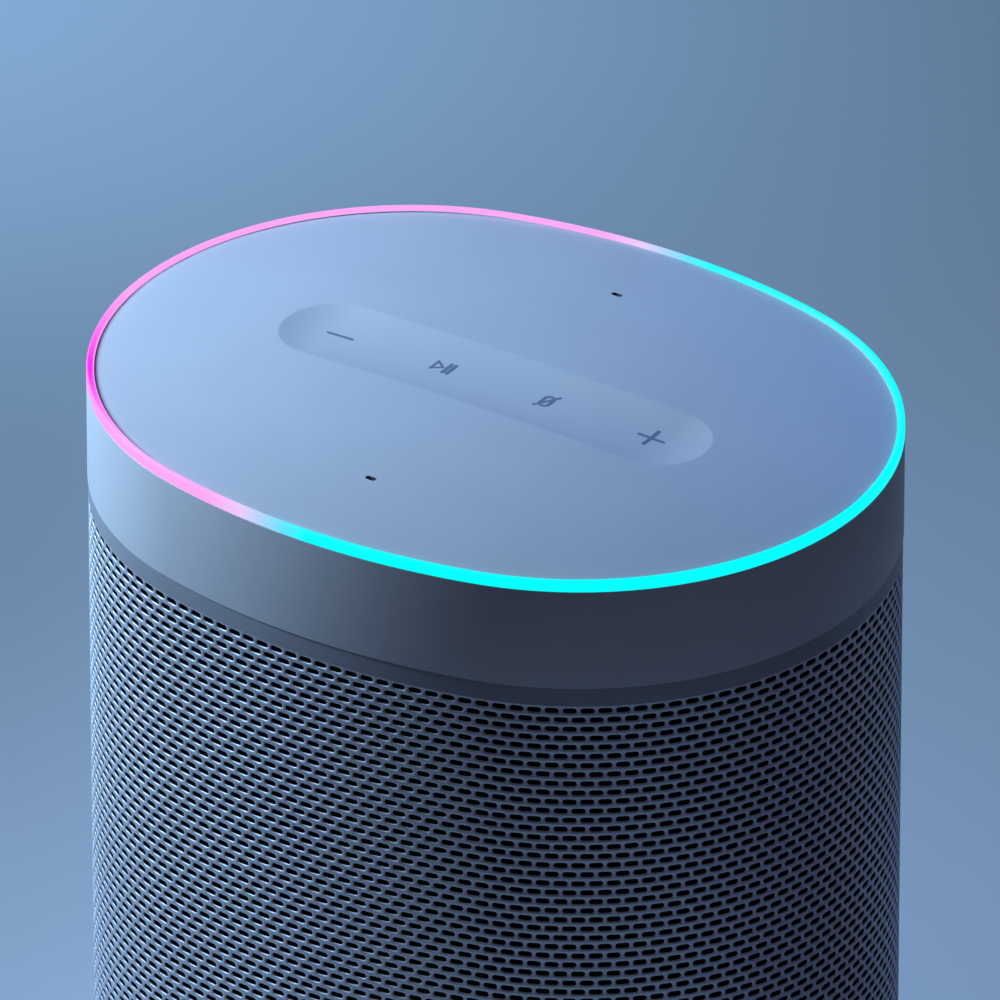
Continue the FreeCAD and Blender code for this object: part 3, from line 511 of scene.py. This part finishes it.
def sleeve_piece(name, first_row, last_row):
    """A closed band of the perforated sheet, from the middle of one rib to the middle of another."""
    columns = 2 * SLOTS_PER_ROW
    oval = Oval(columns)
    step = oval.perimeter / columns
    top_row = SLEEVE_HIGH.z - FIRST_ROW_DROP
    lines = [top_row - (row - 0.5) * ROW_PITCH for row in range(first_row, last_row + 2)]
    points, faces, depths = [], [], []

    def add(travel, height, inset):
        """Adds points at distances round the outline and returns their numbers."""
        place = (travel / step) % columns
        index = np.floor(place).astype(int) % columns
        share = (place - np.floor(place)) * step
        angle = oval.angle[index] + share / oval.radius[index]
        reach = oval.radius[index] - inset
        flat = oval.centre[index] + reach[:, None] * np.stack([np.cos(angle), np.sin(angle)], 1)
        first = sum(len(block) for block in points)
        points.append(np.column_stack([flat, np.broadcast_to(height, len(flat))]))
        # 0 at the front and the rolled mouth, 1 at the back; the sleeve material turns it into painted shade
        # on the slot walls
        depths.append(np.full(len(flat), max(0.0, inset - mouth) / (back - mouth)))
        return first + np.arange(len(flat))

    every = np.arange(columns) * step
    front, back = SLEEVE_STEP, SLEEVE_STEP + SLEEVE_THICKNESS
    mouth = front + SLOT_ROLL
    loops, middles = slot_outline(0), slot_outline(SLOT_ROLL)
    rib = {side: [add(every, height, side) for height in lines] for side in (front, back)}
    for offset, row in enumerate(range(first_row, last_row + 1)):
        shift = row % 2
        centre_height = top_row - row * ROW_PITCH
        slots = 2 * np.arange(SLOTS_PER_ROW) + 1 + shift
        side_travel = (2 * np.arange(SLOTS_PER_ROW) + shift) * step
        rings = []
        for shape, inset in ((middles, front), (loops, mouth), (loops, back)):
            ring = [add(slots * step + dx, centre_height + dy, inset) for dx, dy in shape]
            rings.append(np.stack(ring, 1))
        for side, loop, shape in ((front, rings[0], middles), (back, rings[2], loops)):
            edge = add(side_travel, centre_height, side)
            upper, lower = rib[side][offset], rib[side][offset + 1]
            left, right = (slots - 1) % columns, (slots + 1) % columns
            mid = slots % columns
            outer = np.stack([np.roll(edge, -1), upper[right], upper[mid], upper[left], edge,
                              lower[left], lower[mid], lower[right]], 1)
            corner = np.array([(1, 0), (1, 1), (0, 1), (-1, 1), (-1, 0), (-1, -1), (0, -1), (1, -1)])
            corner = corner * (step, 0.8)     # about half a row; only the order of the angles counts
            outer_angle = np.arctan2(corner[:, 1], corner[:, 0])
            inner_angle = np.arctan2(shape[:, 1], shape[:, 0])
            pattern = bridge(np.arange(8), 8 + np.arange(len(shape)), outer_angle, inner_angle)
            numbers = np.concatenate([outer, loop], 1)
            for triangle in pattern:
                corners = triangle if side == front else triangle[::-1]
                faces.append(numbers[:, list(corners)])
        count = len(loops)
        for first, second in ((rings[0], rings[1]), (rings[1], rings[2])):
            for index in range(count):
                after = (index + 1) % count
                faces.append(np.stack([first[:, index], first[:, after], second[:, after],
                                       second[:, index]], 1))
    around = np.arange(columns)
    ahead = (around + 1) % columns
    for which in (0, -1):
        outer, inner = rib[front][which], rib[back][which]
        quad = np.stack([outer[around], outer[ahead], inner[ahead], inner[around]], 1)
        faces.append(quad if which == 0 else quad[:, ::-1])
    listed = [face for block in faces for face in block.tolist()]
    piece = make_piece(name, np.concatenate(points), listed, crease=50)
    depth = piece.data.attributes.new("wall_depth", "FLOAT", "POINT")
    depth.data.foreach_set("value", np.concatenate(depths).astype(np.float32))
    return piece


def perforated_sleeve(metal, collar):
    pieces = []
    for number, first in enumerate(range(0, SLOT_ROWS, ROWS_PER_PIECE), 1):
        last = min(first + ROWS_PER_PIECE, SLOT_ROWS) - 1
        pieces.append(sleeve_piece(f"grille_sleeve_{number}", first, last))
        pieces[-1].data.materials.append(metal)
    back = SLEEVE_STEP + SLEEVE_THICKNESS
    first_rib = SLEEVE_HIGH.z - FIRST_ROW_DROP + ROW_PITCH / 2
    last_rib = first_rib - SLOT_ROWS * ROW_PITCH
    pieces.append(sweep("grille_collar", [(SLEEVE_STEP, SLEEVE_HIGH.z, 0.06), (SLEEVE_STEP, first_rib, 0),
                                          (back, first_rib, 0), (back, SLEEVE_HIGH.z, 0)]))
    pieces[-1].data.materials.append(collar)
    pieces.append(sweep("grille_hem", [(SLEEVE_STEP, last_rib, 0), (SLEEVE_STEP, SLEEVE_LOW.z, 0.15),
                                       (back, SLEEVE_LOW.z, 0), (back, last_rib, 0)]))
    pieces[-1].data.materials.append(metal)
    for piece in pieces:
        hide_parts("grille_sleeve")


# ---- surround and spider of the driver ----
def flexing_disc(name, node, radii, middle, thickness):
    """A turned sheet of the given thickness round a section of radii and heights."""
    around = 256
    turn = np.arange(around) * 2 * math.pi / around
    slope = np.gradient(middle, radii)
    lean = np.hypot(1, slope)
    section = [(radius - side * grade / length, height + side / length)
               for side, order in ((thickness / 2, 1), (-thickness / 2, -1))
               for radius, height, grade, length in list(zip(radii, middle, slope, lean))[::order]]
    points = [np.column_stack([radius * np.cos(turn), radius * np.sin(turn), np.full(around, height)])
              for radius, height in section]
    piece = make_piece(name, np.concatenate(points), ring_faces(len(section), around), body=None)
    weld_and_orient(piece)
    soften(piece, 60)
    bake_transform(piece)
    co = np.empty(len(piece.data.vertices) * 3)
    piece.data.vertices.foreach_get("co", co)
    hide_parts(node)
    return piece


def driver_surround(rubber):
    high = box_mm("surround")[1]
    inner, outer = 21.3, high.x
    roll, centre = 2.75, 25.5     # radius of the half-roll and of the circle that it follows
    radii = np.linspace(inner, outer, 140)
    land = high.z - 0.25
    drop = np.sqrt(np.maximum(roll ** 2 - (radii - centre) ** 2, 0.0))
    piece = flexing_disc("driver_surround", "surround", radii, land - 0.1 - drop, 0.45)
    piece.data.materials.append(rubber)


def driver_spider(cloth):
    high = box_mm("spider")[1]
    inner, outer, fold_end = 9.56, high.x, 19.0
    fold = (fold_end - inner) / 6
    radii = np.linspace(inner, outer, 180)
    wave = -0.25 + 0.25 * np.cos((radii - inner) / fold * 2 * math.pi)
    middle = high.z - 0.18 + np.where(radii < fold_end, wave, 0.0)
    piece = flexing_disc("driver_spider", "spider", radii, middle, 0.3)
    piece.data.materials.append(cloth)


# ---- materials ----
RING_POWER = 1.0
RING_PINK = (1.0, 0.39, 0.91)
RING_PALE = (0.82, 0.60, 0.97)
RING_PALE_BLUE = (0.36, 0.68, 1.0)
RING_SKY = (0.10, 0.80, 1.0)
RING_CYAN = (0.0, 1.0, 1.0)
RING_MAGENTA = (1.0, 0.015, 0.87)
RING_DEEP_SPOT = (-0.0565, -0.0285, 0.149)    # middle of the magenta stretch, in metres
SLEEVE_PAINT = (0.80, 0.85, 0.93)
SLOT_SHADOW = (0.01, 0.011, 0.014)


class Nodes:
    """A short way to build one material's node tree."""

    def __init__(self, name):
        self.material = bpy.data.materials.new(name)
        self.material.use_nodes = True
        self.tree = self.material.node_tree
        self.shader = self.tree.nodes["Principled BSDF"]
        self.place = self.add("ShaderNodeTexCoord").outputs["Object"]

    def add(self, kind, inputs=(), **settings):
        node = self.tree.nodes.new(kind)
        for key, value in settings.items():
            setattr(node, key, value)
        for key, value in dict(inputs).items():
            if isinstance(value, bpy.types.NodeSocket):
                self.tree.links.new(value, node.inputs[key])
            else:
                node.inputs[key].default_value = value
        return node

    def link(self, source, target):
        self.tree.links.new(source, target)

    def noise(self, scale, detail=3.0, stretch=None):
        place = self.place
        if stretch:
            place = self.add("ShaderNodeMapping", {"Vector": place, "Scale": stretch}).outputs[0]
        return self.add("ShaderNodeTexNoise", {"Vector": place, "Scale": scale,
                                               "Detail": detail}).outputs["Fac"]

    def ramp(self, factor, stops):
        node = self.add("ShaderNodeValToRGB", {"Fac": factor})
        band = node.color_ramp
        while len(band.elements) < len(stops):
            band.elements.new(0.5)
        for element, (position, colour) in zip(band.elements, stops):
            element.position = position
            element.color = (*colour, 1)
        return node.outputs["Color"]

    def spread(self, factor, low, high):
        """Maps a 0 to 1 factor on to a range of numbers."""
        return self.add("ShaderNodeMapRange", {"Value": factor, "To Min": low, "To Max": high}).outputs[0]

    def bump(self, height, strength, distance):
        node = self.add("ShaderNodeBump", {"Height": height, "Strength": strength, "Distance": distance})
        self.link(node.outputs["Normal"], self.shader.inputs["Normal"])


def shade(colour, factor):
    return tuple(min(1.0, max(0.0, channel * factor)) for channel in colour)


def finish_material(name, colour, roughness, metallic=0.0, vary=0.06, colour_scale=60.0, grain=1800.0,
                    grain_depth=0.00002, stretch=None, coat=0.0, rough_vary=0.06):
    """Moulded, painted or machined finish: slow colour drift, varied gloss and a fine surface grain."""
    made = Nodes(name)
    drift = made.noise(colour_scale, 4.0, stretch)
    made.link(made.ramp(drift, [(0.3, shade(colour, 1 - vary)), (0.7, shade(colour, 1 + vary))]),
              made.shader.inputs["Base Color"])
    gloss = made.noise(colour_scale * 6, 3.0, stretch)
    made.link(made.spread(gloss, roughness - rough_vary, roughness + rough_vary),
              made.shader.inputs["Roughness"])
    made.shader.inputs["Metallic"].default_value = metallic
    made.shader.inputs["Coat Weight"].default_value = coat
    made.bump(made.noise(grain, 2.0, stretch), 0.35, grain_depth)
    return made.material


def weave_material(name, colour, scale, roughness=0.85):
    """Plain weave from two crossed sets of threads."""
    made = Nodes(name)
    threads = [made.add("ShaderNodeTexWave", {"Vector": made.place, "Scale": scale, "Distortion": 0.6,
                                              "Detail": 1.0}, bands_direction=way).outputs["Fac"]
               for way in ("X", "Z")]
    mixed = made.add("ShaderNodeMath", {0: threads[0], 1: threads[1]}, operation="MAXIMUM").outputs[0]
    made.link(made.ramp(mixed, [(0.2, shade(colour, 0.45)), (0.9, shade(colour, 1.3))]),
              made.shader.inputs["Base Color"])
    made.shader.inputs["Roughness"].default_value = roughness
    made.shader.inputs["Sheen Weight"].default_value = 0.15
    made.bump(mixed, 0.6, 0.0001)
    return made.material


def board_material(name):
    """Green solder mask over faint copper tracks, with drilled speckle."""
    made = Nodes(name)
    tracks = made.add("ShaderNodeTexBrick", {"Vector": made.place, "Scale": 120.0,
                                             "Color1": (0.02, 0.13, 0.07, 1), "Color2": (0.03, 0.17, 0.09, 1),
                                             "Mortar": (0.05, 0.26, 0.13, 1), "Mortar Size": 0.03})
    cells = made.add("ShaderNodeTexVoronoi", {"Vector": made.place, "Scale": 420.0}).outputs["Distance"]
    pads = made.ramp(cells, [(0.1, (0.75, 0.72, 0.6)), (0.13, (0.0, 0.0, 0.0))])
    mixed = made.add("ShaderNodeMix", {"Factor": 1.0, "A": tracks.outputs["Color"], "B": pads},
                     data_type="RGBA", blend_type="LIGHTEN")
    made.link(mixed.outputs["Result"], made.shader.inputs["Base Color"])
    made.link(made.spread(made.noise(300.0), 0.25, 0.4), made.shader.inputs["Roughness"])
    made.shader.inputs["Coat Weight"].default_value = 0.4
    made.bump(tracks.outputs["Fac"], 0.3, 0.00003)
    return made.material


def ring_light_material():
    """Lit light guide: pink on the left with a magenta core, cyan on the right, pale where they meet."""
    made = Nodes("light_guide_lit")
    across = made.add("ShaderNodeVectorMath", {0: made.place, 1: (1.0, -0.06, 0.0)}, operation="DOT_PRODUCT")
    share = made.add("ShaderNodeMapRange", {"Value": across.outputs["Value"], "From Min": -0.016,
                                            "From Max": 0.003}).outputs[0]
    colour = made.ramp(share, [(0.0, RING_PINK), (0.35, RING_PALE), (0.6, RING_PALE_BLUE),
                               (0.8, RING_SKY), (1.0, RING_CYAN)])
    away = made.add("ShaderNodeVectorMath", {0: made.place, 1: RING_DEEP_SPOT}, operation="DISTANCE")
    near = made.add("ShaderNodeMapRange", {"Value": away.outputs["Value"], "From Min": 0.002,
                                           "From Max": 0.024, "To Min": 1.0, "To Max": 0.0}).outputs[0]
    inset = made.add("ShaderNodeAttribute", attribute_name="inset").outputs["Fac"]
    off_middle = made.add("ShaderNodeMath", {0: inset, 1: RING_WIDTH / 2}, operation="SUBTRACT")
    off_middle = made.add("ShaderNodeMath", {0: off_middle.outputs[0]}, operation="ABSOLUTE").outputs[0]
    core = made.add("ShaderNodeMapRange", {"Value": off_middle, "From Min": 0.3, "From Max": 0.55,
                                           "To Min": 1.0, "To Max": 0.15}).outputs[0]
    deep = made.add("ShaderNodeMath", {0: near, 1: core}, operation="MULTIPLY").outputs[0]
    lit = made.add("ShaderNodeMix", {"Factor": deep, "A": colour, "B": (*RING_MAGENTA, 1)}, data_type="RGBA")
    made.link(lit.outputs["Result"], made.shader.inputs["Emission Color"])
    made.link(made.spread(made.noise(900.0, 2.0), RING_POWER * 0.97, RING_POWER * 1.03),
              made.shader.inputs["Emission Strength"])
    made.shader.inputs["Base Color"].default_value = (0.03, 0.03, 0.035, 1)
    made.shader.inputs["Roughness"].default_value = 0.45
    made.shader.inputs["Specular IOR Level"].default_value = 0.2
    made.bump(made.noise(2500.0), 0.2, 0.00001)
    return made.material


def sleeve_material():
    """Satin painted metal; its slot walls darken with depth to near-black, painted shade standing in for the
    shadow inside the slots.
    """
    made = Nodes("painted_sleeve")
    drift = made.ramp(made.noise(60.0, 4.0), [(0.3, shade(SLEEVE_PAINT, 0.97)),
                                              (0.7, shade(SLEEVE_PAINT, 1.03))])
    depth = made.add("ShaderNodeAttribute", attribute_name="wall_depth").outputs["Fac"]
    # painted shade: the slot walls fade towards SLOT_SHADOW as they reach into the sheet
    slot_shade = made.add("ShaderNodeMapRange", {"Value": depth, "From Max": 0.2}).outputs[0]
    mixed = made.add("ShaderNodeMix", {"Factor": slot_shade, "A": drift, "B": (*SLOT_SHADOW, 1)},
                     data_type="RGBA")
    made.link(mixed.outputs["Result"], made.shader.inputs["Base Color"])
    made.link(made.spread(made.noise(400.0), 0.46, 0.54), made.shader.inputs["Roughness"])
    made.shader.inputs["Metallic"].default_value = 0.45
    made.bump(made.noise(3000.0, 2.0), 0.3, 0.00002)
    return made.material


def collar_material():
    """The plain strip above the slots, a darker shade of the same paint."""
    return finish_material("sleeve_collar", shade(SLEEVE_PAINT, 0.58), 0.45, 0.2, vary=0.03, grain=3000)


# one entry for each material slot of the record
def slot_materials():
    white = (0.80, 0.83, 0.86)
    black = (0.035, 0.036, 0.04)
    return {
        "white_plastic": finish_material("satin_white_plastic", white, 0.42, grain=2600, vary=0.02),
        "icon_ink": finish_material("grey_ink", (0.27, 0.33, 0.42), 0.5, grain=4000, vary=0.08),
        "light_guide": ring_light_material(),
        "shield_foam": finish_material("black_foam", black, 0.9, grain=900, grain_depth=0.0002),
        "circuit_board": board_material("green_board"),
        "led_package": finish_material("led_package", (0.9, 0.86, 0.7), 0.3, colour_scale=500),
        "chip_package": finish_material("chip_package", (0.04, 0.04, 0.045), 0.55, grain=3000),
        "microphone_can": finish_material("tinned_steel", (0.66, 0.66, 0.63), 0.3, 1.0, grain=2200),
        "gasket_rubber": finish_material("black_silicone", black, 0.75, vary=0.15, grain=1200),
        "screen_cloth": weave_material("screen_mesh", (0.06, 0.06, 0.07), 900.0),
        "touch_foam": finish_material("grey_foam", (0.35, 0.35, 0.37), 0.95, grain=1100,
                                      grain_depth=0.0002),
        "ribbon": finish_material("amber_film", (0.75, 0.36, 0.06), 0.3, stretch=(1, 1, 8)),
        "screw_steel": finish_material("zinc_plated_steel", (0.58, 0.58, 0.6), 0.3, 1.0, vary=0.12),
        "brass_fittings": finish_material("turned_brass", (0.78, 0.58, 0.26), 0.26, 1.0,
                                          stretch=(1, 12, 1)),
        "heat_sink_metal": finish_material("anodised_aluminium", (0.72, 0.73, 0.75), 0.38, 1.0,
                                           stretch=(1, 10, 1)),
        "capacitor_can": finish_material("capacitor_can", (0.50, 0.51, 0.54), 0.34, 1.0),
        "frame_plastic": finish_material("black_moulding", (0.03, 0.031, 0.034), 0.6, vary=0.2,
                                         grain=1500),
        "jack_plastic": finish_material("jack_plastic", (0.02, 0.02, 0.022), 0.4, vary=0.2),
        "basket_steel": finish_material("black_coated_steel", (0.045, 0.045, 0.05), 0.45, 0.3),
        "magnet_steel": finish_material("magnet_steel", (0.5, 0.51, 0.53), 0.33, 1.0, stretch=(1, 1, 9)),
        "ferrite": finish_material("ferrite", (0.07, 0.07, 0.075), 0.7, 0.2, vary=0.25),
        "spider_cloth": weave_material("spider_weave", (0.60, 0.40, 0.16), 700.0),
        "cone_paper": finish_material("pressed_pulp", (0.05, 0.05, 0.055), 0.9, vary=0.3, grain=800,
                                      grain_depth=0.0001),
        "coil_wire": finish_material("copper_winding", (0.70, 0.28, 0.12), 0.35, 1.0,
                                     stretch=(1, 1, 40)),
        "wire_sleeve": finish_material("cable_sleeve", black, 0.5, vary=0.2),
        "sleeve_metal": sleeve_material(),
        "grille_cloth": weave_material("acoustic_cloth", (0.006, 0.006, 0.008), 600.0, 0.95),
        "foot_silicone": finish_material("grey_silicone", (0.42, 0.43, 0.46), 0.8, grain=900),
    }


def paint_cad_nodes(materials):
    """Every CAD node takes its slot's material; flat shading is kept only at real edges."""
    slots = {entry["node"]: entry["material_slot"] for entry in frame["record"]["subparts"]}
    for name, node in frame["nodes"].items():
        material = materials[slots[name]]
        if not node.data.materials:
            node.data.materials.append(material)
        for index in range(len(node.data.materials)):
            node.data.materials[index] = material
        node.data.polygons.foreach_set("use_smooth", np.ones(len(node.data.polygons), bool))
        node.data.set_sharp_from_angle(angle=math.radians(30))


# ---- camera, lights and floor ----
def set_camera():
    """Long lens, from the user's right front, looking down at about thirty degrees."""
    azimuth = math.radians(33.58)
    distance = 3000.0
    height = RING_TOP + 1710.3
    across = 0.8                  # the aim passes this far to the right of the column's axis
    away = Vector((math.sin(azimuth), -math.cos(azimuth), 0))
    right = Vector((math.cos(azimuth), math.sin(azimuth), 0))
    place = away * distance + Vector((0, 0, height))
    pitch = math.radians(29.968)
    aim = right * across + Vector((0, 0, height - distance * math.tan(pitch)))
    data = bpy.data.cameras.new("camera")
    data.sensor_width = 36.0
    data.lens = 809.4
    data.clip_start = 0.05
    data.clip_end = 20.0
    camera = bpy.data.objects.new("camera", data)
    camera.location = place * MM
    camera.rotation_euler = (aim - place).to_track_quat("-Z", "Y").to_euler()
    bpy.context.scene.collection.objects.link(camera)
    bpy.context.scene.camera = camera


def soft_light(name, place, aim, size, power, colour, spread):
    """A square area light; place, aim and size in metres, power in watts, spread in degrees."""
    data = bpy.data.lights.new(name, "AREA")
    data.size = size
    data.energy = power
    data.color = colour
    data.spread = math.radians(spread)
    light = bpy.data.objects.new(name, data)
    light.location = place
    light.rotation_euler = (Vector(aim) - Vector(place)).to_track_quat("-Z", "Y").to_euler()
    light.visible_camera = False
    bpy.context.scene.collection.objects.link(light)


def set_studio():
    world = bpy.data.worlds.new("studio")
    bpy.context.scene.world = world
    world.use_nodes = True
    world.node_tree.nodes["Background"].inputs["Color"].default_value = (0.72, 0.66, 1.0, 1)
    world.node_tree.nodes["Background"].inputs["Strength"].default_value = 0.03
    soft_light("key", (-0.354, -0.107, 0.33), (-0.045, 0.0, 0.152), 0.12, 0.40, (0.47, 0.70, 1.0), 72)
    soft_light("back", (-0.10, 0.45, 0.42), (0.03, 0.02, 0.149), 0.15, 0.05, (0.03, 0.22, 1.0), 60)
    soft_light("backdrop", (-0.60, 0.30, 0.38), (-0.25, 0.28, 0), 0.2, 0.34, (0.37, 0.65, 1.0), 62)
    bpy.context.scene.view_settings.view_transform = "Standard"


def set_floor():
    size = 4000.0
    made = Nodes("pale_floor")
    made.link(made.ramp(made.noise(3.0, 3.0), [(0.3, (0.70, 0.74, 0.78)), (0.7, (0.76, 0.79, 0.83))]),
              made.shader.inputs["Base Color"])
    made.shader.inputs["Roughness"].default_value = 0.8
    mesh = bpy.data.meshes.new("floor")
    corners = [(-size, -size, 0), (size, -size, 0), (size, size, 0), (-size, size, 0)]
    mesh.from_pydata([tuple(value * MM for value in corner) for corner in corners], [], [(0, 1, 2, 3)])
    floor = bpy.data.objects.new("floor", mesh)
    floor.data.materials.append(made.material)
    bpy.context.scene.collection.objects.link(floor)


def main():
    set_camera()
    set_studio()
    set_floor()
    materials = slot_materials()
    paint_cad_nodes(materials)
    # the microphone holes' walls take a near-black material: painted shade in the holes
    top_cover(materials["white_plastic"], finish_material("mic_hole_painted_shade", (0.09, 0.10, 0.12), 0.8))
    touch_marks(materials["icon_ink"])
    light_ring().data.materials.append(materials["light_guide"])
    upper_band().data.materials.append(materials["white_plastic"])
    perforated_sleeve(materials["sleeve_metal"], collar_material())
    driver_surround(materials["gasket_rubber"])
    driver_spider(materials["spider_cloth"])


main()
